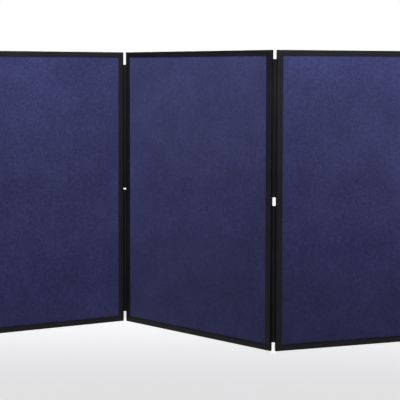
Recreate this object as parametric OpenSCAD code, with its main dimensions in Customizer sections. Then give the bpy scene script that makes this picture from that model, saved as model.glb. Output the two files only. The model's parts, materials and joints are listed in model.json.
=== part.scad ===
// Folding partition wall: three fabric-faced boards, joined by slide-in hinge strips
// and standing free in a zigzag. Millimetres, +Z up, floor at z = 0.

/* [Boards] */
// Width of one board over its frame
board_w = 600; // [400:5:1200]
// Height of one board over its frame
board_h = 900; // [700:5:1800]
// Thickness of the core board
core_t = 6.5; // [6:0.5:20]
// Thickness of each fabric face
fabric_t = 0.8; // [0.5:0.1:2]

/* [Frame extrusion] */
// Width of the frame's face, from outer edge to inner lip
frame_face = 18; // [15:0.5:30]
// Thickness of the lip in front of and behind the core pocket
lip_t = 1.8; // [1.2:0.1:4]
// Depth of the hinge groove's axis below the outer edge
groove_depth = 4.4; // [3.6:0.1:6]
// Radius of the hinge groove
groove_r = 2.6; // [1.8:0.1:3]
// Width of the hinge groove's mouth
mouth_w = 2; // [1.8:0.1:2.4]
// Wall between the hinge groove and the core pocket
groove_wall = 1.2; // [0.8:0.1:2]
// Rounding of the frame's outer edges
outer_round = 1.2; // [0.5:0.1:3]
// Rounding of the frame's inner lips
inner_round = 1.2; // [0.3:0.1:1.2]

/* [Corner braces] */
// Length of each leg of a corner brace
brace_leg = 42; // [20:1:80]
// Thickness of the brace's steel strip
brace_t = 1.2; // [0.8:0.1:2]

/* [Hinge strips] */
// Length of one hinge strip
strip_len = 411; // [100:1:415]
// Thickness of the strip's web
web_t = 1; // [0.8:0.1:1.8]
// Radius of the stiffening rib along the middle of the web
rib_r = 0.9; // [0.7:0.1:1.2]
// Thickness of the neck between bead and web
neck_t = 1.6; // [1:0.1:1.7]
// Free height above the upper strip in the left joint
left_top_gap = 41; // [5:1:50]
// Free height between the two strips in the left joint
left_mid_gap = 5; // [2:1:20]
// Free height above the upper strip in the right joint
right_top_gap = 27; // [5:1:50]
// Free height between the two strips in the right joint
right_mid_gap = 25; // [2:1:30]

/* [Stance] */
// Turn of the middle board from the wall's run, right end towards the front
middle_turn = 40; // [0:1:60]
// Fold of the left joint from straight, closing the front faces
left_fold = 65.4; // [20:0.1:120]
// Fold of the right joint from straight, opening the front faces
right_fold = 57.4; // [20:0.1:120]

/* [Clearances] */
// Gap between the faces of two boards folded flat together
fold_gap = 0.6; // [0.4:0.1:6]
// Gap between a fabric face and the lip in front of it
pocket_fit = 0.1; // [0.05:0.05:0.3]
// Gap between the core board's edge and a corner brace
core_edge_fit = 0.3; // [0.1:0.1:1]
// Gap between a corner brace and the pocket's floor
brace_fit = 0.1; // [0.05:0.05:0.3]
// Gap between a corner brace and each side of the pocket
brace_side_fit = 0.4; // [0.1:0.1:0.9]
// Radial gap between a bead and its groove
bead_fit = 0.05; // [0.03:0.01:0.1]
// Radial gap at a strip's fold line
fold_line_fit = 0.05; // [0.03:0.01:0.1]
// Gap between a strip's web and a board's edge when folded square to it
web_clear = 0.2; // [0.2:0.1:1]

/* [Hidden] */

// Number of sides that a drawn circle has
$fn = 48;
// Overshoot of a cut past the faces that it leaves
over = 1;

// Colours
frame_colour = "#1d1c21";
fabric_colour = "#35366a";
core_colour = "#b59a6a";
brace_colour = "#9a9da3";
strip_colour = "#26252b";

// Frame extrusion
pocket_w = core_t + 2 * fabric_t + 2 * pocket_fit;
frame_t = pocket_w + 2 * lip_t;
pocket_floor = groove_depth + groove_r + groove_wall;

// Core board, fabric faces and braces, measured in from the frame's outer edge
brace_in = pocket_floor + brace_fit;
brace_w = pocket_w - 2 * brace_side_fit;
core_in = brace_in + brace_t + core_edge_fit;

// Hinge strips: each fold line lies just outside a board's edge
bead_r = groove_r - bead_fit;
fold_out = web_clear + web_t / 2;
neck_out = fold_out - web_t / 2 - fold_line_fit;
fold_spacing = frame_t + fold_gap;
left_upper_z = board_h - left_top_gap - strip_len;
left_lower_z = left_upper_z - left_mid_gap - strip_len;
right_upper_z = board_h - right_top_gap - strip_len;
right_lower_z = right_upper_z - right_mid_gap - strip_len;

// Headings in plan, counter-clockwise from +X
middle_heading = -middle_turn;
left_link_heading = middle_heading + left_fold / 2;
left_heading = middle_heading + left_fold;
right_link_heading = middle_heading + right_fold / 2;
right_heading = middle_heading + right_fold;

function heading(angle) = [cos(angle), sin(angle)];

// Plan positions with the middle board's centre at zero
reach = board_w / 2 + fold_out;
left_near_line = -reach * heading(middle_heading);
left_far_line = left_near_line - fold_spacing * heading(left_link_heading);
left_centre = left_far_line - reach * heading(left_heading);
right_near_line = reach * heading(middle_heading);
right_far_line = right_near_line + fold_spacing * heading(right_link_heading);
right_centre = right_far_line + reach * heading(right_heading);

// Half extents of a round-edged board in plan, seen along one axis
function half_extent(along, across) =
    abs(along) * (board_w / 2 - outer_round) + abs(across) * (frame_t / 2 - outer_round) + outer_round;

boards = [[[0, 0], middle_heading], [left_centre, left_heading], [right_centre, right_heading]];
half_x = [for (b = boards) half_extent(cos(b[1]), sin(b[1]))];
half_y = [for (b = boards) half_extent(sin(b[1]), cos(b[1]))];
low_x = min([for (i = [0:2]) boards[i][0][0] - half_x[i]]);
high_x = max([for (i = [0:2]) boards[i][0][0] + half_x[i]]);
low_y = min([for (i = [0:2]) boards[i][0][1] - half_y[i]]);
high_y = max([for (i = [0:2]) boards[i][0][1] + half_y[i]]);
plan_centre = [(low_x + high_x) / 2, (low_y + high_y) / 2];

// Puts children, drawn about a plan point, at that point with a heading
module placed(point, angle) {
    translate([point[0] - plan_centre[0], point[1] - plan_centre[1], 0])
        rotate([0, 0, angle])
            children();
}

module at_middle() { placed([0, 0], middle_heading) children(); }
module at_left() { placed(left_centre, left_heading) children(); }
module at_right() { placed(right_centre, right_heading) children(); }

// ---- Frame extrusion: x across the thickness, y inwards from the outer edge

module outline() {
    outer_x = frame_t / 2 - outer_round;
    inner_x = frame_t / 2 - inner_round;
    translate([-frame_t / 2, outer_round]) square([frame_t, frame_face - outer_round - inner_round]);
    translate([-outer_x, 0]) square([2 * outer_x, frame_face]);
    translate([-inner_x, outer_round]) square([2 * inner_x, frame_face - outer_round]);
    for (side = [-1, 1]) {
        translate([side * outer_x, outer_round]) circle(r = outer_round);
        translate([side * inner_x, frame_face - inner_round]) circle(r = inner_round);
    }
}

module groove_section() {
    translate([0, groove_depth]) circle(r = groove_r);
    translate([-mouth_w / 2, -over]) square([mouth_w, groove_depth + over]);
}

module frame_section() {
    difference() {
        outline();
        groove_section();
        translate([-pocket_w / 2, pocket_floor]) square([pocket_w, frame_face]);
    }
}

// Turns an extrusion so that it runs along +X with its outer edge at z = 0
module along_x() { rotate([90, 0, 90]) children(); }

// One mitred length of frame. The grooves of its neighbours run out through its tips.
module frame_bar(length) {
    difference() {
        intersection() {
            along_x() linear_extrude(height = length) frame_section();
            rotate([90, 0, 0])
                linear_extrude(height = frame_t + 2 * over, center = true)
                    polygon([[0, 0], [length, 0], [length - frame_face, frame_face], [frame_face, frame_face]]);
        }
        for (end = [0, 1])
            translate([end * length, 0, -over])
                rotate([0, 0, end == 0 ? -90 : 90])
                    linear_extrude(height = frame_face + 2 * over) groove_section();
    }
}

// ---- Board pieces, with x across the board from its centre and y = 0 at mid thickness

module bottom_rail() { color(frame_colour) translate([-board_w / 2, 0, 0]) frame_bar(board_w); }

module top_rail() {
    color(frame_colour) translate([board_w / 2, 0, board_h]) rotate([0, 180, 0]) frame_bar(board_w);
}

module stile_on_left() {
    color(frame_colour) translate([-board_w / 2, 0, board_h]) rotate([0, 90, 0]) frame_bar(board_h);
}

module stile_on_right() {
    color(frame_colour) translate([board_w / 2, 0, 0]) rotate([0, -90, 0]) frame_bar(board_h);
}

// A flat sheet the size of the core, its back at the given y
module core_sized_sheet(thickness, y) {
    translate([core_in - board_w / 2, y, core_in])
        cube([board_w - 2 * core_in, thickness, board_h - 2 * core_in]);
}

module core_board() { color(core_colour) core_sized_sheet(core_t, -core_t / 2); }
module front_fabric() { color(fabric_colour) core_sized_sheet(fabric_t, -core_t / 2 - fabric_t); }
module back_fabric() { color(fabric_colour) core_sized_sheet(fabric_t, core_t / 2); }

// An angle of steel strip with its corner at the origin and legs along +X and +Z
module corner_brace() {
    translate([0, -brace_w / 2, 0]) {
        cube([brace_leg, brace_w, brace_t]);
        cube([brace_t, brace_w, brace_leg]);
    }
}

module corner_braces() {
    color(brace_colour)
        for (across = [0, 1], up = [0, 1])
            translate([(across - 0.5) * (board_w - 2 * brace_in), 0, brace_in + up * (board_h - 2 * brace_in)])
                mirror([across, 0, 0])
                    mirror([0, 0, up])
                        corner_brace();
}

// ---- Hinge strip pieces

// The bead that fills a board's groove and its neck out to the fold line.
// The board's edge face is at x = 0 and the bead lies on its -x side.
module bead() {
    color(strip_colour) {
        translate([-groove_depth, 0, 0]) cylinder(r = bead_r, h = strip_len);
        translate([-groove_depth, -neck_t / 2, 0]) cube([groove_depth + neck_out, neck_t, strip_len]);
    }
}

// The web between two fold lines, from x = 0 to the far fold line
module web() {
    color(strip_colour) {
        translate([0, -web_t / 2, 0]) cube([fold_spacing, web_t, strip_len]);
        for (x = [0, fold_spacing]) translate([x, 0, 0]) cylinder(d = web_t, h = strip_len);
        translate([fold_spacing / 2, 0, 0]) cylinder(r = rib_r, h = strip_len);
    }
}

module bead_on_right_edge(z) { translate([board_w / 2, 0, z]) bead(); }
module bead_on_left_edge(z) { translate([-board_w / 2, 0, z]) rotate([0, 0, 180]) bead(); }
module left_web(z) { placed(left_far_line, left_link_heading) translate([0, 0, z]) web(); }
module right_web(z) { placed(right_near_line, right_link_heading) translate([0, 0, z]) web(); }

// ---- Sub-parts

module middle_top_rail() { at_middle() top_rail(); }
module middle_bottom_rail() { at_middle() bottom_rail(); }
module middle_left_stile() { at_middle() stile_on_left(); }
module middle_right_stile() { at_middle() stile_on_right(); }
module middle_core_board() { at_middle() core_board(); }
module middle_front_fabric() { at_middle() front_fabric(); }
module middle_back_fabric() { at_middle() back_fabric(); }
module middle_corner_braces() { at_middle() corner_braces(); }

module left_top_rail() { at_left() top_rail(); }
module left_bottom_rail() { at_left() bottom_rail(); }
module left_outer_stile() { at_left() stile_on_left(); }
module left_inner_stile() { at_left() stile_on_right(); }
module left_core_board() { at_left() core_board(); }
module left_front_fabric() { at_left() front_fabric(); }
module left_back_fabric() { at_left() back_fabric(); }
module left_corner_braces() { at_left() corner_braces(); }

module right_top_rail() { at_right() top_rail(); }
module right_bottom_rail() { at_right() bottom_rail(); }
module right_inner_stile() { at_right() stile_on_left(); }
module right_outer_stile() { at_right() stile_on_right(); }
module right_core_board() { at_right() core_board(); }
module right_front_fabric() { at_right() front_fabric(); }
module right_back_fabric() { at_right() back_fabric(); }
module right_corner_braces() { at_right() corner_braces(); }

module left_upper_strip_outer_bead() { at_left() bead_on_right_edge(left_upper_z); }
module left_upper_strip_web() { left_web(left_upper_z); }
module left_upper_strip_inner_bead() { at_middle() bead_on_left_edge(left_upper_z); }
module left_lower_strip_outer_bead() { at_left() bead_on_right_edge(left_lower_z); }
module left_lower_strip_web() { left_web(left_lower_z); }
module left_lower_strip_inner_bead() { at_middle() bead_on_left_edge(left_lower_z); }

module right_upper_strip_inner_bead() { at_middle() bead_on_right_edge(right_upper_z); }
module right_upper_strip_web() { right_web(right_upper_z); }
module right_upper_strip_outer_bead() { at_right() bead_on_left_edge(right_upper_z); }
module right_lower_strip_inner_bead() { at_middle() bead_on_right_edge(right_lower_z); }
module right_lower_strip_web() { right_web(right_lower_z); }
module right_lower_strip_outer_bead() { at_right() bead_on_left_edge(right_lower_z); }

middle_top_rail();
middle_bottom_rail();
middle_left_stile();
middle_right_stile();
middle_core_board();
middle_front_fabric();
middle_back_fabric();
middle_corner_braces();
left_top_rail();
left_bottom_rail();
left_outer_stile();
left_inner_stile();
left_core_board();
left_front_fabric();
left_back_fabric();
left_corner_braces();
right_top_rail();
right_bottom_rail();
right_inner_stile();
right_outer_stile();
right_core_board();
right_front_fabric();
right_back_fabric();
right_corner_braces();
left_upper_strip_outer_bead();
left_upper_strip_web();
left_upper_strip_inner_bead();
left_lower_strip_outer_bead();
left_lower_strip_web();
left_lower_strip_inner_bead();
right_upper_strip_inner_bead();
right_upper_strip_web();
right_upper_strip_outer_bead();
right_lower_strip_inner_bead();
right_lower_strip_web();
right_lower_strip_outer_bead();
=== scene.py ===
"""Looks of a folding partition wall: three fabric-faced boards in black frames, joined by hinge strips.

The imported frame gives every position. Each board is a Board, each hinge strip a HingeStrip, and the
room is a Studio.
"""

from __future__ import annotations

import json
import logging
import math
from dataclasses import dataclass, field
from enum import Enum

import bmesh
import bpy
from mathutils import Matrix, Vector, noise


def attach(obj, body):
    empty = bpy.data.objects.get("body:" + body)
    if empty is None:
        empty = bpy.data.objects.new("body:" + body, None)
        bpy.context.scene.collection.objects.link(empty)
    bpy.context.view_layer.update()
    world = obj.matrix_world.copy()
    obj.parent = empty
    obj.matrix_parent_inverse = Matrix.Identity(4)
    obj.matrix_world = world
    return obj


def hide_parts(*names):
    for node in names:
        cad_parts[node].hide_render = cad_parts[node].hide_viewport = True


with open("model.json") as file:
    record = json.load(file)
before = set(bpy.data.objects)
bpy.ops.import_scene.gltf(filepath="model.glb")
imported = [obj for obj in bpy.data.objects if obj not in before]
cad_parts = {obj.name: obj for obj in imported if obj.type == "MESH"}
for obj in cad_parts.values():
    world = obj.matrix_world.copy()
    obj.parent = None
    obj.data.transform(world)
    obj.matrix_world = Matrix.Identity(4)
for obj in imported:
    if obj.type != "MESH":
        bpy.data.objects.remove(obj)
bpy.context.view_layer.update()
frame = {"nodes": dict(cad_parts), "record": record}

log = logging.getLogger("partition_wall")

MM = 0.001


class BoardName(Enum):
    """The three boards, by where they stand."""

    LEFT = "left"
    MIDDLE = "middle"
    RIGHT = "right"

    @property
    def body(self) -> str:
        """Name of the rigid body that the board is."""
        return f"{self.value}_board"

    @property
    def stiles(self) -> tuple[str, str]:
        """Node names of the board's stiles, from its left end to its right end."""
        return {
            BoardName.LEFT: ("left_outer_stile", "left_inner_stile"),
            BoardName.MIDDLE: ("middle_left_stile", "middle_right_stile"),
            BoardName.RIGHT: ("right_inner_stile", "right_outer_stile"),
        }[self]


class Face(Enum):
    """The two fabric faces of a board. The value is the side of the core that the face lies on."""

    FRONT = -1
    BACK = 1


class Joint(Enum):
    """The two joints, by the end of the middle board that they lie at."""

    LEFT = "left"
    RIGHT = "right"


class Level(Enum):
    """The two hinge strips of a joint, by height."""

    UPPER = "upper"
    LOWER = "lower"


class Anchor(Enum):
    """The kinds of named place in the record."""

    JOINT = "joint"
    MOUNT = "mount"


# ---- Shader nodes


@dataclass
class NodeBuilder:
    """Adds shader nodes to one material and links them.

    Attributes:
        material: The material whose tree is built.
    """

    material: bpy.types.Material

    def __post_init__(self) -> None:
        """Clears the tree down to an output and one Principled shader."""
        self.material.use_nodes = True
        self.tree = self.material.node_tree
        self.tree.nodes.clear()
        self.output = self.tree.nodes.new("ShaderNodeOutputMaterial")
        self.shader = self.tree.nodes.new("ShaderNodeBsdfPrincipled")
        self.link(self.shader.outputs["BSDF"], self.output.inputs["Surface"])
        self.coordinates = self.tree.nodes.new("ShaderNodeTexCoord")

    def link(self, source: bpy.types.NodeSocket, target: bpy.types.NodeSocket) -> None:
        """Links an output socket to an input socket."""
        self.tree.links.new(source, target)

    def set(self, **values: float | tuple[float, ...]) -> None:
        """Sets constants on the shader's own sockets.

        Args:
            values: Socket names with underscores for spaces, and their values.
        """
        for name, value in values.items():
            self.shader.inputs[name.replace("_", " ")].default_value = value

    def noise(self, scale: float, detail: float = 3.0, roughness: float = 0.5) -> bpy.types.NodeSocket:
        """A noise texture in the object's own space.

        Args:
            scale: Grains per metre, roughly.
            detail: Octaves.
            roughness: Strength of the finer octaves.

        Returns:
            The noise value's socket.
        """
        texture = self.tree.nodes.new("ShaderNodeTexNoise")
        texture.inputs["Scale"].default_value = scale
        texture.inputs["Detail"].default_value = detail
        texture.inputs["Roughness"].default_value = roughness
        self.link(self.coordinates.outputs["Object"], texture.inputs["Vector"])
        return texture.outputs["Fac"]

    def cells(self, scale: float) -> bpy.types.NodeSocket:
        """Distance to the nearest of a field of scattered points.

        Args:
            scale: Cells per metre.

        Returns:
            The distance's socket.
        """
        texture = self.tree.nodes.new("ShaderNodeTexVoronoi")
        texture.inputs["Scale"].default_value = scale
        self.link(self.coordinates.outputs["Object"], texture.inputs["Vector"])
        return texture.outputs["Distance"]

    def ramp(
        self,
        value: bpy.types.NodeSocket,
        stops: list[tuple[float, tuple[float, float, float]]],
    ) -> bpy.types.NodeSocket:
        """Turns a value into a colour.

        Args:
            value: The value's socket.
            stops: Positions from 0 to 1 with linear colours.

        Returns:
            The colour's socket.
        """
        node = self.tree.nodes.new("ShaderNodeValToRGB")
        elements = node.color_ramp.elements
        while len(elements) < len(stops):
            elements.new(0.5)
        for element, (position, colour) in zip(elements, stops):
            element.position = position
            element.color = (*colour, 1.0)
        self.link(value, node.inputs["Fac"])
        return node.outputs["Color"]

    def mapped(self, value: bpy.types.NodeSocket, low: float, high: float) -> bpy.types.NodeSocket:
        """Maps a value from 0..1 to low..high.

        Args:
            value: The value's socket.
            low: Result at 0.
            high: Result at 1.

        Returns:
            The mapped value's socket.
        """
        node = self.tree.nodes.new("ShaderNodeMapRange")
        node.inputs["To Min"].default_value = low
        node.inputs["To Max"].default_value = high
        self.link(value, node.inputs["Value"])
        return node.outputs["Result"]

    def mixed(
        self,
        a: bpy.types.NodeSocket,
        b: bpy.types.NodeSocket,
        share: float,
    ) -> bpy.types.NodeSocket:
        """Adds two values in given shares.

        Args:
            a: The first value's socket.
            b: The second value's socket.
            share: How much of the second, from 0 to 1.

        Returns:
            The mixed value's socket.
        """
        node = self.tree.nodes.new("ShaderNodeMix")
        node.inputs["Factor"].default_value = share
        self.link(a, node.inputs["A"])
        self.link(b, node.inputs["B"])
        return node.outputs["Result"]

    def bump(self, height: bpy.types.NodeSocket, depth: float, strength: float = 1.0) -> None:
        """Gives the surface relief.

        Args:
            height: The height's socket, 0 to 1.
            depth: Relief in metres.
            strength: Share of the relief that shows.
        """
        node = self.tree.nodes.new("ShaderNodeBump")
        node.inputs["Distance"].default_value = depth
        node.inputs["Strength"].default_value = strength
        self.link(height, node.inputs["Height"])
        self.link(node.outputs["Normal"], self.shader.inputs["Normal"])


# ---- Finishes


@dataclass(frozen=True)
class Finish:
    """A surface finish that makes its material once.

    Attributes:
        name: The material's name.
    """

    name: str

    def material(self) -> bpy.types.Material:
        """Makes the finish's material on first use.

        Returns:
            The material, which all pieces with this finish share.
        """
        found = bpy.data.materials.get(self.name)
        if found is None:
            found = bpy.data.materials.new(self.name)
            self.paint(NodeBuilder(found))
        return found

    def paint(self, nodes: NodeBuilder) -> None:
        """Builds the finish's nodes. Each finish has its own."""
        raise NotImplementedError


@dataclass(frozen=True)
class ExtrudedPlastic(Finish):
    """Black plastic extrusion: fine grain, handling marks and a satin gloss.

    Attributes:
        dark: Linear colour of the plain surface.
        worn: Linear colour of the worn patches.
        rubbing: Values of the patches' noise where rubbing starts and where it is full.
        gloss: Lowest and highest roughness.
        shine: Specular level, from 0 to 1.
        grain_height: Height of the fine grain.
    """

    dark: tuple[float, float, float] = (0.0034, 0.0031, 0.0048)
    worn: tuple[float, float, float] = (0.0063, 0.0059, 0.0082)
    rubbing: tuple[float, float] = (0.38, 0.72)
    gloss: tuple[float, float] = (0.38, 0.54)
    shine: float = 0.18
    grain_height: float = 0.05 * MM

    def paint(self, nodes: NodeBuilder) -> None:
        """Mottled black with fine grain and rubbed patches.

        Args:
            nodes: Builder of the material's nodes.
        """
        grain = nodes.noise(scale=1500.0, detail=2.0)
        patches = nodes.noise(scale=11.0, detail=6.0, roughness=0.62)
        nodes.link(
            nodes.ramp(patches, list(zip(self.rubbing, (self.dark, self.worn)))),
            nodes.shader.inputs["Base Color"],
        )
        nodes.link(nodes.mapped(patches, *self.gloss), nodes.shader.inputs["Roughness"])
        nodes.set(Specular_IOR_Level=self.shine)
        nodes.bump(grain, depth=self.grain_height, strength=0.5)


@dataclass(frozen=True)
class LoopFabric(Finish):
    """Blue needled loop fabric: matted fibres, faint cloudy mottling and a short nap.

    Attributes:
        deep: Linear colour between the fibres, where the nap is low: partly painted shade, partly random
            tone.
        middle: Linear colour of most fibres.
        light: Linear colour of the raised fibres: partly a painted highlight, partly random tone.
        stops: Tones at which the three colours lie.
        loop_share: How much of the nap the loops make.
        tuft_share: How much of the tone the tufts make, before the mottling.
        cloud_share: How much of the tone the cloudy mottling makes.
        matt: Lowest and highest roughness.
        nap_height: Height of the raised fibres.
    """

    deep: tuple[float, float, float] = (0.0120, 0.0131, 0.0485)
    middle: tuple[float, float, float] = (0.0194, 0.0211, 0.0738)
    light: tuple[float, float, float] = (0.0320, 0.0346, 0.1110)
    stops: tuple[float, float, float] = (0.34, 0.48, 0.62)
    loop_share: float = 0.35
    tuft_share: float = 0.45
    cloud_share: float = 0.22
    matt: tuple[float, float] = (0.88, 1.0)
    nap_height: float = 0.5 * MM

    def paint(self, nodes: NodeBuilder) -> None:
        """Noise at three scales with cells for the loops, from single fibres to cloudy mottling.

        Args:
            nodes: Builder of the material's nodes.
        """
        fibres = nodes.noise(scale=700.0, detail=6.0, roughness=0.75)
        loops = nodes.cells(scale=380.0)
        tufts = nodes.noise(scale=120.0, detail=4.0, roughness=0.6)
        clouds = nodes.noise(scale=9.0, detail=3.0, roughness=0.5)
        nap = nodes.mixed(fibres, loops, self.loop_share)
        # The nap sets part of the tone: low places are painted darker as shade, raised fibres lighter as
        # a highlight. Tufts and clouds add random tone.
        tone = nodes.mixed(nodes.mixed(nap, tufts, self.tuft_share), clouds, self.cloud_share)
        nodes.link(
            nodes.ramp(tone, list(zip(self.stops, (self.deep, self.middle, self.light)))),
            nodes.shader.inputs["Base Color"],
        )
        nodes.link(nodes.mapped(fibres, *self.matt), nodes.shader.inputs["Roughness"])
        nodes.set(Sheen_Weight=0.12, Sheen_Roughness=0.6, Sheen_Tint=(0.55, 0.57, 0.9, 1.0))
        nodes.set(Specular_IOR_Level=0.15)
        nodes.bump(nap, depth=self.nap_height, strength=0.7)


@dataclass(frozen=True)
class HoneycombBoard(Finish):
    """Brown core board with the cell walls showing at its edges.

    Attributes:
        dark: Linear colour inside the cells, painted there as the shade in their hollows.
        pale: Linear colour of the raised paper.
        stops: Tones at which the two colours lie.
        wall_share: How much of the tone the cells make.
        wall_height: How far the cell walls stand out.
    """

    dark: tuple[float, float, float] = (0.13, 0.085, 0.045)
    pale: tuple[float, float, float] = (0.36, 0.26, 0.15)
    stops: tuple[float, float] = (0.2, 0.7)
    wall_share: float = 0.5
    wall_height: float = 1.0 * MM

    def paint(self, nodes: NodeBuilder) -> None:
        """Paper fibre with a cell pattern, darker in each cell's hollow middle as painted shade.

        Args:
            nodes: Builder of the material's nodes.
        """
        fibre = nodes.noise(scale=320.0, detail=5.0)
        walls = nodes.cells(scale=110.0)
        # The cells drive both the relief and the tone: their low middles are painted darker, as shade in
        # the hollows.
        tone = nodes.mixed(fibre, walls, self.wall_share)
        nodes.link(
            nodes.ramp(tone, list(zip(self.stops, (self.dark, self.pale)))),
            nodes.shader.inputs["Base Color"],
        )
        nodes.set(Roughness=0.95)
        nodes.bump(walls, depth=self.wall_height)


@dataclass(frozen=True)
class PlatedSteel(Finish):
    """Zinc plated steel strip with a fine spangle.

    Attributes:
        dull: Linear colour at the middle of a crystal.
        bright: Linear colour at its edge.
        gloss: Lowest and highest roughness.
    """

    dull: tuple[float, float, float] = (0.42, 0.43, 0.45)
    bright: tuple[float, float, float] = (0.62, 0.63, 0.64)
    gloss: tuple[float, float] = (0.28, 0.45)

    def paint(self, nodes: NodeBuilder) -> None:
        """Spangled grey metal.

        Args:
            nodes: Builder of the material's nodes.
        """
        spangle = nodes.cells(scale=260.0)
        nodes.link(
            nodes.ramp(spangle, [(0.0, self.dull), (1.0, self.bright)]),
            nodes.shader.inputs["Base Color"],
        )
        nodes.link(nodes.mapped(spangle, *self.gloss), nodes.shader.inputs["Roughness"])
        nodes.set(Metallic=1.0)


@dataclass(frozen=True)
class PaleFloor(Finish):
    """Plain pale studio floor that grows lighter away from the wall; its weaker glow near the wall is
    painted shade round the boards.

    Attributes:
        near: Radius in metres within which its own light is weakest.
        far: Radius in metres where it is as light as the surround.
        glow: Its own light within the near radius, and at and beyond the far one.
    """

    near: float = 0.8
    far: float = 5.0
    glow: tuple[float, float] = (0.66, 0.88)

    def paint(self, nodes: NodeBuilder) -> None:
        """Even and matt, with its own light rising with distance.

        Args:
            nodes: Builder of the material's nodes.
        """
        nodes.set(Base_Color=(0.90, 0.90, 0.90, 1.0), Roughness=0.9, Specular_IOR_Level=0.1)
        length = nodes.tree.nodes.new("ShaderNodeVectorMath")
        length.operation = "LENGTH"
        nodes.link(nodes.coordinates.outputs["Object"], length.inputs[0])
        # The glow is weakest near the wall: painted shade round the boards.
        rise = nodes.tree.nodes.new("ShaderNodeMapRange")
        rise.interpolation_type = "SMOOTHSTEP"
        rise.inputs["From Min"].default_value = self.near
        rise.inputs["From Max"].default_value = self.far
        rise.inputs["To Min"].default_value, rise.inputs["To Max"].default_value = self.glow
        nodes.link(length.outputs["Value"], rise.inputs["Value"])
        nodes.set(Emission_Color=(1.0, 1.0, 1.0, 1.0))
        nodes.link(rise.outputs["Result"], nodes.shader.inputs["Emission Strength"])


FRAME_FINISH = ExtrudedPlastic("satin_black_extrusion")
STRIP_FINISH = ExtrudedPlastic(
    "flexible_black_strip", dark=(0.0022, 0.0022, 0.0032), worn=(0.0044, 0.0044, 0.0058), shine=0.08
)
# The rib's finish is much lighter than the strip's: a painted highlight along the rib's crest. Its
# glossier surface is real.
RIB_HIGHLIGHT_FINISH = ExtrudedPlastic(
    "painted_highlight_strip_rib", dark=(0.0120, 0.0120, 0.0140), worn=(0.0210, 0.0210, 0.0235), gloss=(0.24, 0.38)
)
FABRIC_FINISH = LoopFabric("needled_blue_fabric")
CORE_FINISH = HoneycombBoard("honeycomb_fibreboard")
STEEL_FINISH = PlatedSteel("zinc_spangle")
FLOOR_FINISH = PaleFloor("pale_studio_floor")


def dress(node: str, finish: Finish) -> None:
    """Gives a carried-over node a finish.

    Args:
        node: The node's name.
        finish: The finish for all its faces.
    """
    data = frame["nodes"][node].data
    data.materials.clear()
    data.materials.append(finish.material())


# ---- Boards


@dataclass
class BoardAxes:
    """A board's own axes: x along it to the right, y to its back, z up, from its centre on the floor.

    Attributes:
        centre: The board's centre in plan, at floor height.
        along: Unit vector to the board's right end.
    """

    centre: Vector
    along: Vector

    @property
    def back(self) -> Vector:
        """Unit vector to the board's back."""
        return Vector((-self.along.y, self.along.x, 0.0))

    def world(self, x: float, y: float, z: float) -> Vector:
        """A point of the board's axes in the row frame."""
        return self.centre + self.along * x + self.back * y + Vector((0.0, 0.0, z))

    def extent(self, node: str) -> tuple[Vector, Vector]:
        """Lowest and highest corner of a node along the board's axes.

        Args:
            node: The node's name.

        Returns:
            The two corners.
        """
        points = [v.co - self.centre for v in frame["nodes"][node].data.vertices]
        local = [(p.dot(self.along), p.dot(self.back), p.z) for p in points]
        return Vector(map(min, zip(*local))), Vector(map(max, zip(*local)))


def plan_point(kind: Anchor, name: str) -> Vector:
    """A joint's or a mount's place in plan.

    Args:
        kind: Whether it is a joint or a mount.
        name: Its name.

    Returns:
        Its position with z at the floor.
    """
    record = frame["record"]
    rows = record["behaviour"]["joints"] if kind is Anchor.JOINT else record["mounts"]
    x, y, _ = next(row["pos_m"] for row in rows if row["name"] == name)
    return Vector((x, y, 0.0))


def board_axes(name: BoardName) -> BoardAxes:
    """Finds a board's axes from the fold lines and end grooves, which lie on its middle plane.

    Args:
        name: The board.

    Returns:
        Its axes, centred between its ends.
    """
    ends = {
        BoardName.LEFT: ((Anchor.MOUNT, "left_end_groove"), (Anchor.JOINT, "left_fold_outer")),
        BoardName.MIDDLE: ((Anchor.JOINT, "left_fold"), (Anchor.JOINT, "right_fold")),
        BoardName.RIGHT: ((Anchor.JOINT, "right_fold_outer"), (Anchor.MOUNT, "right_end_groove")),
    }[name]
    start, stop = (plan_point(*end) for end in ends)
    axes = BoardAxes(start, (stop - start).normalized())
    low, high = axes.extent(f"{name.value}_top_rail")
    axes.centre = axes.world((low.x + high.x) / 2, 0.0, 0.0)
    return axes


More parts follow.
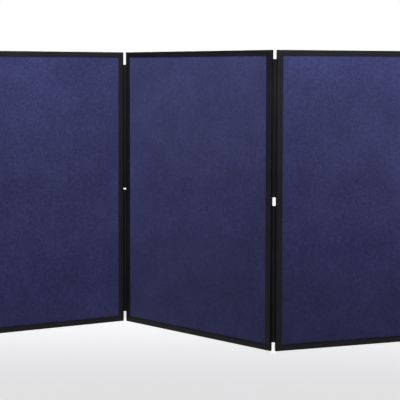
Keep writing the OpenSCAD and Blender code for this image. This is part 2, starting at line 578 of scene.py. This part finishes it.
@dataclass
class FabricSheet:
    """One stretched fabric face, glued to the core with its edges trapped under the frame's lips.

    Attributes:
        board: The board that it faces.
        face: The side of the core that it lies on.
        axes: The board's axes.
        lip: How far the frame's lip reaches over the fabric's edge.
        pitch: Spacing of the surface's points.
        slack: Height of the slow waves left by stretching.
        pucker: Height of the short ripples near the lips.
        tuck: How far the fabric is pressed down under the lips.
        reach: Distance from a lip in which its pull fades to about a third.
        wave_scale: Slow waves per metre, along the board and up it.
        ripple_scale: Short ripples per metre, along the board and up it.
        ripple_base: Share of the ripples that is left far from the lips.
        noise_top: Value of the noise that lies at the surface's flat place.
        seeds: Steps of the noise's seed: by board, by face, and from the waves to the ripples.
        grip: Share of the waves that the lips press flat.
        smooth_under: Angle in degrees below which its surface shades smoothly.
    """

    board: BoardName
    face: Face
    axes: BoardAxes
    lip: float = 8.2 * MM
    pitch: float = 6.0 * MM
    slack: float = 0.16 * MM
    pucker: float = 0.10 * MM
    tuck: float = 0.18 * MM
    reach: float = 14.0 * MM
    wave_scale: tuple[float, float] = (5.0, 3.0)
    ripple_scale: tuple[float, float] = (42.0, 16.0)
    ripple_base: float = 0.25
    noise_top: float = 0.6
    seeds: tuple[float, float, float] = (7.3, 3.1, 40.0)
    grip: float = 0.6
    smooth_under: float = 40.0

    @property
    def node(self) -> str:
        """Name of the node that the sheet stands for."""
        return f"{self.board.value}_{self.face.name.lower()}_fabric"

    def relief(self, x: float, z: float, margin: float) -> float:
        """Height of the surface over its flat place.

        Args:
            x: Place along the board.
            z: Height above the floor.
            margin: Distance to the nearest edge of the sheet.

        Returns:
            The height: below zero but for a few hundredths of a millimetre, which keeps the sheet in
            its own space.
        """
        by_board, by_face, by_size = self.seeds
        seed = by_board * list(BoardName).index(self.board) + by_face * self.face.value
        slow = noise.noise(Vector((x * self.wave_scale[0], z * self.wave_scale[1], seed)))
        ripple_place = (x * self.ripple_scale[0], z * self.ripple_scale[1], seed + by_size)
        ripple = noise.noise(Vector(ripple_place))
        near_lip = math.exp(-max(margin - self.lip, 0.0) / self.reach)
        under_lip = 1.0 if margin < self.lip else near_lip
        waves = self.slack * (slow - self.noise_top)
        waves += self.pucker * (ripple - self.noise_top) * (self.ripple_base + near_lip)
        return waves * (1.0 - self.grip * under_lip) - self.tuck * under_lip

    def build(self) -> bpy.types.Object:
        """Makes the sheet as a thin closed slab with a finely divided outer surface.

        Returns:
            The new object, in the place of the node.
        """
        low, high = self.axes.extent(self.node)
        columns = round((high.x - low.x) / self.pitch)
        rows = round((high.z - low.z) / self.pitch)
        outer, inner = (low.y, high.y) if self.face is Face.FRONT else (high.y, low.y)
        mesh = bmesh.new()
        skins: list[list[list[bmesh.types.BMVert]]] = []
        for skin_y, waves in ((outer, True), (inner, False)):
            grid = []
            for i in range(columns + 1):
                x = low.x + (high.x - low.x) * i / columns
                line = []
                for k in range(rows + 1):
                    z = low.z + (high.z - low.z) * k / rows
                    margin = min(x - low.x, high.x - x, z - low.z, high.z - z)
                    lift = self.relief(x, z, margin) if waves else 0.0
                    y = skin_y + self.face.value * lift
                    line.append(mesh.verts.new(self.axes.world(x, y, z)))
                grid.append(line)
            skins.append(grid)
        self._skin_faces(mesh, skins, columns, rows)
        self._edge_faces(mesh, skins, columns, rows)
        bmesh.ops.recalc_face_normals(mesh, faces=mesh.faces)
        return new_object(f"{self.node}_sheet", mesh, FABRIC_FINISH, self.smooth_under)

    def _skin_faces(self, mesh: bmesh.types.BMesh, skins: list, columns: int, rows: int) -> None:
        """Fills both skins with quads.

        Args:
            mesh: The mesh that receives them.
            skins: Each skin's points, by column and row.
            columns: Number of quads along the board.
            rows: Number of quads up it.
        """
        for grid in skins:
            for i in range(columns):
                for k in range(rows):
                    mesh.faces.new((grid[i][k], grid[i + 1][k], grid[i + 1][k + 1], grid[i][k + 1]))

    def _edge_faces(self, mesh: bmesh.types.BMesh, skins: list, columns: int, rows: int) -> None:
        """Closes the slab round its four edges.

        Args:
            mesh: The mesh that receives the edges.
            skins: Each skin's points, by column and row.
            columns: Number of quads along the board.
            rows: Number of quads up it.
        """
        outer, inner = skins
        rim = [(i, 0) for i in range(columns)] + [(columns, k) for k in range(rows)]
        rim += [(i, rows) for i in range(columns, 0, -1)] + [(0, k) for k in range(rows, 0, -1)]
        for (i, k), (j, m) in zip(rim, rim[1:] + rim[:1]):
            mesh.faces.new((outer[i][k], outer[j][m], inner[j][m], inner[i][k]))

    def place(self) -> bpy.types.Object:
        """Builds the sheet, hangs it on its board's body and hides the node that it stands for.

        Returns:
            The new sheet.
        """
        sheet = self.build()
        low, high = self.axes.extent(self.node)
        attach(sheet, self.board.body)
        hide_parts(self.node)
        return sheet


def new_object(
    name: str,
    mesh: bmesh.types.BMesh,
    finish: Finish,
    smooth_under: float | None = None,
) -> bpy.types.Object:
    """Turns a mesh under construction into an object of the scene.

    Args:
        name: The object's name.
        mesh: The mesh, which is freed.
        finish: The finish for all its faces.
        smooth_under: Angle in degrees below which edges shade smoothly, or None for flat faces.

    Returns:
        The new object.
    """
    data = bpy.data.meshes.new(name)
    mesh.to_mesh(data)
    mesh.free()
    data.materials.append(finish.material())
    if smooth_under is not None:
        shade_smooth(data, smooth_under)
    made = bpy.data.objects.new(name, data)
    bpy.context.scene.collection.objects.link(made)
    return made


Outline = list[tuple[float, float]]


def arc(centre: tuple[float, float], radius: float, start: float, stop: float, steps: int) -> Outline:
    """Points along a circular arc.

    Args:
        centre: The arc's centre.
        radius: Its radius.
        start: First angle in degrees, counter-clockwise from the first axis.
        stop: Last angle in degrees.
        steps: Number of equal steps between them.

    Returns:
        The points, with both ends.
    """
    angles = [math.radians(start + (stop - start) * i / steps) for i in range(steps + 1)]
    return [(centre[0] + radius * math.cos(a), centre[1] + radius * math.sin(a)) for a in angles]


def loft(mesh: bmesh.types.BMesh, rings: list[list[Vector]]) -> None:
    """Joins closed rings of equal length into a skin and caps both ends.

    Args:
        mesh: The mesh that receives it.
        rings: The rings' points, in order along the piece.
    """
    loops = [[mesh.verts.new(point) for point in ring] for ring in rings]
    count = len(loops[0])
    for lower, upper in zip(loops, loops[1:]):
        for i in range(count):
            j = (i + 1) % count
            mesh.faces.new((lower[i], lower[j], upper[j], upper[i]))
    mesh.faces.new(loops[0])
    mesh.faces.new(loops[-1])
    bmesh.ops.recalc_face_normals(mesh, faces=mesh.faces)


class Side(Enum):
    """The four sides of a board that a frame bar lies on."""

    BOTTOM = "bottom"
    TOP = "top"
    LEFT = "left"
    RIGHT = "right"


@dataclass
class FrameBar:
    """One mitred length of the frame extrusion, with its hinge groove outside and core pocket inside.

    Attributes:
        node: Name of the node that it stands for.
        body: Name of the body that it belongs to.
        side: The side of the board that it lies on.
        axes: The board's axes.
        groove_depth: Depth of the hinge groove's axis below the outer edge.
        groove_radius: Radius of the hinge groove.
        mouth: Half width of the groove's mouth.
        pocket_floor: Depth of the pocket's floor below the outer edge.
        lip: Thickness of the lips beside the pocket.
        outer_round: Rounding of the outer edges.
        inner_round: Rounding of the inner lips.
        crown: How far the middle of a face stands above its edges.
        mitre_gap: How far a mitre is held back along the bar, which leaves a hairline at the corner.
        overshoot: How far a cutter reaches past what it cuts.
        smooth_under: Angle in degrees below which its surface shades smoothly.
    """

    node: str
    body: str
    side: Side
    axes: BoardAxes
    groove_depth: float = 4.4 * MM
    groove_radius: float = 2.6 * MM
    mouth: float = 1.0 * MM
    pocket_floor: float = 8.2 * MM
    lip: float = 1.8 * MM
    outer_round: float = 1.2 * MM
    inner_round: float = 1.0 * MM
    crown: float = 0.35 * MM
    mitre_gap: float = 0.05 * MM
    overshoot: float = 1.0 * MM
    smooth_under: float = 32.0

    def __post_init__(self) -> None:
        """Measures the bar's node."""
        self.low, self.high = self.axes.extent(self.node)
        size = self.high - self.low
        upright = self.side in (Side.LEFT, Side.RIGHT)
        self.length = size.z if upright else size.x
        self.face = size.x if upright else size.z
        self.half = size.y / 2

    @property
    def mouth_angle(self) -> float:
        """Angle in degrees, round the groove's axis, at which its wall meets the mouth."""
        return math.degrees(math.acos(self.mouth / self.groove_radius))

    def point(self, s: float, u: float, v: float) -> Vector:
        """A point of the bar in the row frame.

        Args:
            s: Place along the bar.
            u: Place across the thickness, from the middle.
            v: Depth below the outer edge.

        Returns:
            The point.
        """
        x, z = {
            Side.BOTTOM: (self.low.x + s, self.low.z + v),
            Side.TOP: (self.low.x + s, self.high.z - v),
            Side.LEFT: (self.low.x + v, self.low.z + s),
            Side.RIGHT: (self.high.x - v, self.low.z + s),
        }[self.side]
        return self.axes.world(x, u, z)

    def crown_drop(self, v: float) -> float:
        """How far the face lies below its highest line at a depth."""
        return self.crown * (2.0 * v / self.face - 1.0) ** 2

    def half_outline(self) -> Outline:
        """One half of the section, from the groove's inner end round to the pocket's floor.

        Returns:
            Points across and inwards, on the positive side.
        """
        outer_x = self.half - self.crown_drop(self.outer_round) - self.outer_round
        inner_v = self.face - self.inner_round
        inner_x = self.half - self.crown_drop(inner_v) - self.inner_round
        face_steps = 8
        face = [
            self.outer_round + (inner_v - self.outer_round) * i / face_steps for i in range(1, face_steps)
        ]
        points = arc((0.0, self.groove_depth), self.groove_radius, 90.0, -self.mouth_angle, steps=14)
        points.append((self.mouth, 0.0))
        points += arc((outer_x, self.outer_round), self.outer_round, -90.0, 0.0, steps=6)
        points += [(self.half - self.crown_drop(v), v) for v in face]
        points += arc((inner_x, inner_v), self.inner_round, 0.0, 90.0, steps=5)
        points.append((self.half - self.lip, self.face))
        points.append((self.half - self.lip, self.pocket_floor))
        return points

    def outline(self) -> Outline:
        """The whole section as one closed loop."""
        half = self.half_outline()
        return half + [(-u, v) for u, v in reversed(half[1:])]

    def keyhole(self) -> Outline:
        """The hinge groove's own section, reaching out past the outer edge.

        Returns:
            Points across and inwards, as one closed loop.
        """
        start, stop = -self.mouth_angle, 180.0 + self.mouth_angle
        ring = arc((0.0, self.groove_depth), self.groove_radius, start, stop, steps=28)
        return ring + [(-self.mouth, -self.overshoot), (self.mouth, -self.overshoot)]

    def cutter(self) -> bpy.types.Object:
        """The neighbours' grooves, which run out through this bar's tips.

        Returns:
            An object to cut with.
        """
        mesh = bmesh.new()
        depths = (-self.overshoot, self.face + self.overshoot)
        for place in (lambda v: v, lambda v: self.length - v):
            loft(mesh, [[self.point(place(v), u, depth) for u, v in self.keyhole()] for depth in depths])
        return new_object(f"{self.node}_cutter", mesh, FRAME_FINISH)

    def build(self) -> bpy.types.Object:
        """Sweeps the section between its mitres and cuts the neighbours' grooves.

        Returns:
            The new bar, in the place of its node.
        """
        section = self.outline()
        start = [self.point(v + self.mitre_gap, u, v) for u, v in section]
        stop = [self.point(self.length - v - self.mitre_gap, u, v) for u, v in section]
        mesh = bmesh.new()
        loft(mesh, [start, stop])
        bar = new_object(f"{self.node}_bar", mesh, FRAME_FINISH)
        cut_away(bar, self.cutter())
        shade_smooth(bar.data, self.smooth_under)
        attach(bar, self.body)
        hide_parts(self.node)
        return bar


def cut_away(piece: bpy.types.Object, cutter: bpy.types.Object) -> None:
    """Takes one mesh away from another and removes the cutter.

    Args:
        piece: The object that is cut.
        cutter: The object that is taken away and deleted.
    """
    modifier = piece.modifiers.new("cut", "BOOLEAN")
    modifier.operation = "DIFFERENCE"
    modifier.solver = "EXACT"
    modifier.object = cutter
    graph = bpy.context.evaluated_depsgraph_get()
    result = bpy.data.meshes.new_from_object(piece.evaluated_get(graph))
    piece.modifiers.clear()
    old = piece.data
    result.name = old.name
    piece.data = result
    bpy.data.meshes.remove(old)
    spent = cutter.data
    bpy.data.objects.remove(cutter)
    bpy.data.meshes.remove(spent)


def shade_smooth(data: bpy.types.Mesh, angle: float) -> None:
    """Shades a mesh smoothly except at its corners.

    Args:
        data: The mesh.
        angle: Angle in degrees above which an edge stays sharp.
    """
    for polygon in data.polygons:
        polygon.use_smooth = True
    data.set_sharp_from_angle(angle=math.radians(angle))


@dataclass
class Board:
    """One framed board.

    Attributes:
        name: Which board it is.
        axes: Its own axes.
    """

    name: BoardName
    axes: BoardAxes = field(init=False)

    def __post_init__(self) -> None:
        """Finds the board's axes."""
        self.axes = board_axes(self.name)

    def dress_inside(self) -> None:
        """Finishes the core and the corner braces."""
        dress(f"{self.name.value}_core_board", CORE_FINISH)
        dress(f"{self.name.value}_corner_braces", STEEL_FINISH)

    def bars(self) -> list[FrameBar]:
        """Names the board's four frame bars.

        Returns:
            The bars, not yet built.
        """
        left_stile, right_stile = self.name.stiles
        sides = {
            f"{self.name.value}_bottom_rail": Side.BOTTOM,
            f"{self.name.value}_top_rail": Side.TOP,
            left_stile: Side.LEFT,
            right_stile: Side.RIGHT,
        }
        return [FrameBar(node, self.name.body, side, self.axes) for node, side in sides.items()]

    def build(self) -> list[bpy.types.Object]:
        """Dresses the board, frames it and lays its fabric faces.

        Returns:
            The new pieces.
        """
        self.dress_inside()
        pieces = [bar.build() for bar in self.bars()]
        return pieces + [FabricSheet(self.name, face, self.axes).place() for face in Face]


@dataclass
class HingeStrip:
    """One hinge strip between two boards: two beads held in grooves, and a ribbed web that folds.

    Attributes:
        joint: The joint that it belongs to.
        level: Which of the joint's strips it is.
        rib: Radius of the rib along the middle of the web.
        fillet: Radius of the hollows beside the rib.
        trim: Chamfer at the strip's cut ends.
        crest: Share of the rib's radius, on either side of its middle, that gets the painted highlight.
        cap_tilt: Upright part of a face's normal from which the face counts as a cut end.
        smooth_under: Angle in degrees below which its surface shades smoothly.
    """

    joint: Joint
    level: Level
    rib: float = 0.9 * MM
    fillet: float = 0.5 * MM
    trim: float = 0.25 * MM
    crest: float = 0.7
    cap_tilt: float = 0.5
    smooth_under: float = 35.0

    @property
    def name(self) -> str:
        """The strip's name, which those of its nodes start with."""
        return f"{self.joint.value}_{self.level.value}_strip"

    @property
    def web_node(self) -> str:
        """Name of the web's node."""
        return f"{self.name}_web"

    def web_axes(self) -> tuple[BoardAxes, float, float]:
        """The web's own axes, from one fold line to the other.

        Returns:
            The axes from the web's middle, its half length between fold lines and its half thickness.
        """
        near = plan_point(Anchor.JOINT, f"{self.joint.value}_fold")
        far = plan_point(Anchor.JOINT, f"{self.joint.value}_fold_outer")
        axes = BoardAxes((near + far) / 2, (near - far).normalized())
        low, _ = axes.extent(self.web_node)
        span = (near - far).length / 2
        return axes, span, -low.x - span

    def web_outline(self, span: float, half: float) -> Outline:
        """The web's section, with round ends at the fold lines and a rib in the middle.

        Args:
            span: Half the distance between the fold lines.
            half: Half the web's thickness.

        Returns:
            Points along and across, as one closed loop.
        """
        reach = math.sqrt((self.rib + self.fillet) ** 2 - (half + self.fillet) ** 2)
        lean = math.degrees(math.atan2(half + self.fillet, reach))
        crest = arc((0.0, 0.0), self.rib, lean, 180.0 - lean, steps=10)
        rise = arc((reach, half + self.fillet), self.fillet, 270.0, 180.0 + lean, steps=4)
        fall = arc((-reach, half + self.fillet), self.fillet, -lean, -90.0, steps=4)
        upper = rise[:-1] + crest + fall[1:]
        lower = [(-x, -y) for x, y in upper]
        right_end = arc((span, 0.0), half, -90.0, 90.0, steps=8)
        left_end = arc((-span, 0.0), half, 90.0, 270.0, steps=8)
        return right_end + upper + left_end + lower

    def build_web(self) -> bpy.types.Object:
        """Sweeps the web from end to end, with trimmed ends.

        Returns:
            The new web, in the place of its node.
        """
        axes, span, half = self.web_axes()
        low, high = axes.extent(self.web_node)
        section = self.web_outline(span, half)
        small = [(x * (1.0 - self.trim / span), y * (1.0 - self.trim / half)) for x, y in section]
        levels = (
            (low.z, small),
            (low.z + self.trim, section),
            (high.z - self.trim, section),
            (high.z, small),
        )
        mesh = bmesh.new()
        loft(mesh, [[axes.world(x, y, z) for x, y in ring] for z, ring in levels])
        web = new_object(f"{self.web_node}_ribbed", mesh, STRIP_FINISH, self.smooth_under)
        self.paint_rib_highlight(web.data, axes)
        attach(web, f"{self.joint.value}_link")
        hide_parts(self.web_node)
        return web

    def paint_rib_highlight(self, data: bpy.types.Mesh, axes: BoardAxes) -> None:
        """Paints a highlight on the rib's crest with a lighter, glossier finish.

        Args:
            data: The web's mesh.
            axes: The web's axes.
        """
        # The crest's faces get the lighter finish, which is a painted highlight.
        highlight_slot = len(data.materials)
        data.materials.append(RIB_HIGHLIGHT_FINISH.material())
        for polygon in data.polygons:
            along = (polygon.center - axes.centre).dot(axes.along)
            if abs(along) < self.crest * self.rib and abs(polygon.normal.z) < self.cap_tilt:
                polygon.material_index = highlight_slot

    def build(self) -> list[bpy.types.Object]:
        """Dresses the strip's beads and builds its web.

        Returns:
            The strip's pieces.
        """
        beads = [f"{self.name}_{part}_bead" for part in ("outer", "inner")]
        for node in beads:
            dress(node, STRIP_FINISH)
        return [self.build_web()] + [frame["nodes"][node] for node in beads]


# ---- Room


@dataclass
class Studio:
    """Pale floor, soft light and the camera.

    Attributes:
        distance: From the middle board's centre to the camera, towards the front.
        aside: The camera's offset to the right.
        height: The camera's height.
        turn: Degrees that the camera turns to the left.
        tilt: Degrees that it looks down.
        roll: Degrees that it leans.
        lens: Focal length in millimetres on the sensor below.
        sensor: Sensor width in millimetres.
        rise: Vertical lens shift, as a share of the picture.
        floor_radius: Radius of the floor.
        surround: Brightness of the surround as the camera sees it.
        fill: Brightness of the surround as a light.
        lamp_distance: From the row to each lamp, in plan.
        lamp_height: Height of the lamps.
        lamp_aim: Height of the point that they face, over the middle of the row.
        lamp_size: Width and height of a lamp.
        lamp_power: Power of a lamp in watts.
        lamp_spread: Full angle in degrees that a lamp's louvre lets out.
    """

    distance: float = 3.3573
    aside: float = 0.0422
    height: float = 0.8255
    turn: float = 0.474
    tilt: float = 3.0
    roll: float = -0.123
    lens: float = 96.12
    sensor: float = 36.0
    rise: float = -0.1728
    floor_radius: float = 40.0
    surround: float = 1.0
    fill: float = 0.11
    lamp_distance: float = 1.7
    lamp_height: float = 1.75
    lamp_aim: float = 1.15
    lamp_size: tuple[float, float] = (3.4, 0.5)
    lamp_power: float = 23.0
    lamp_spread: float = 68.0

    def add_camera(self, middle: BoardAxes) -> None:
        """Sets up the camera in front of the wall.

        Args:
            middle: The middle board's axes.
        """
        data = bpy.data.cameras.new("camera")
        data.lens = self.lens
        data.sensor_width = self.sensor
        data.shift_y = self.rise
        camera = bpy.data.objects.new("camera", data)
        camera.location = middle.centre + Vector((self.aside, -self.distance, self.height))
        camera.rotation_euler = (
            math.radians(90.0 - self.tilt),
            math.radians(self.roll),
            math.radians(self.turn),
        )
        bpy.context.scene.collection.objects.link(camera)
        bpy.context.scene.camera = camera

    def add_floor(self) -> None:
        """Lays a wide round floor."""
        mesh = bmesh.new()
        bmesh.ops.create_circle(mesh, cap_ends=True, radius=self.floor_radius, segments=96)
        new_object("studio_floor", mesh, FLOOR_FINISH)

    def add_lamp(self, face: Face) -> None:
        """Hangs one soft lamp behind a louvre, brightest at the top of the boards.

        Args:
            face: The face of the boards that it lights.
        """
        name = f"{face.name.lower()}_overhead"
        data = bpy.data.lights.new(name, "AREA")
        data.shape = "RECTANGLE"
        data.size, data.size_y = self.lamp_size
        data.energy = self.lamp_power
        data.spread = math.radians(self.lamp_spread)
        place = Vector((0.0, face.value * self.lamp_distance, self.lamp_height))
        target = Vector((0.0, 0.0, self.lamp_aim))
        lamp = bpy.data.objects.new(name, data)
        lamp.location = place
        lamp.rotation_euler = (target - place).to_track_quat("-Z", "Y").to_euler()
        bpy.context.scene.collection.objects.link(lamp)

    def add_surround(self) -> None:
        """Surrounds the room with plain white that lights it only a little."""
        world = bpy.data.worlds.new("surround")
        world.use_nodes = True
        tree = world.node_tree
        output = tree.nodes["World Output"]
        seen = tree.nodes["Background"]
        lighting = tree.nodes.new("ShaderNodeBackground")
        for background, strength in ((seen, self.surround), (lighting, self.fill)):
            background.inputs["Color"].default_value = (1.0, 1.0, 1.0, 1.0)
            background.inputs["Strength"].default_value = strength
        path = tree.nodes.new("ShaderNodeLightPath")
        mix = tree.nodes.new("ShaderNodeMixShader")
        tree.links.new(path.outputs["Is Camera Ray"], mix.inputs[0])
        tree.links.new(lighting.outputs["Background"], mix.inputs[1])
        tree.links.new(seen.outputs["Background"], mix.inputs[2])
        tree.links.new(mix.outputs["Shader"], output.inputs["Surface"])
        bpy.context.scene.world = world

    def build(self, middle: BoardAxes) -> None:
        """Builds the room round the wall.

        Args:
            middle: The middle board's axes.
        """
        bpy.context.scene.view_settings.view_transform = "Standard"
        self.add_camera(middle)
        self.add_floor()
        self.add_surround()
        for face in Face:
            self.add_lamp(face)


def main() -> None:
    """Builds the room, the boards and the hinge strips in order."""
    logging.basicConfig(level=logging.INFO, format="%(name)s: %(message)s")
    boards = [Board(name) for name in BoardName]
    Studio().build(boards[1].axes)
    for board in boards:
        for piece in board.build():
            log.info("%s on %s: %d faces", piece.name, board.name.body, len(piece.data.polygons))
    for joint in Joint:
        for level in Level:
            for piece in HingeStrip(joint, level).build():
                faces = len(piece.data.polygons)
                log.info("%s in the %s joint: %d faces", piece.name, joint.value, faces)


if __name__ == "__main__":
    main()
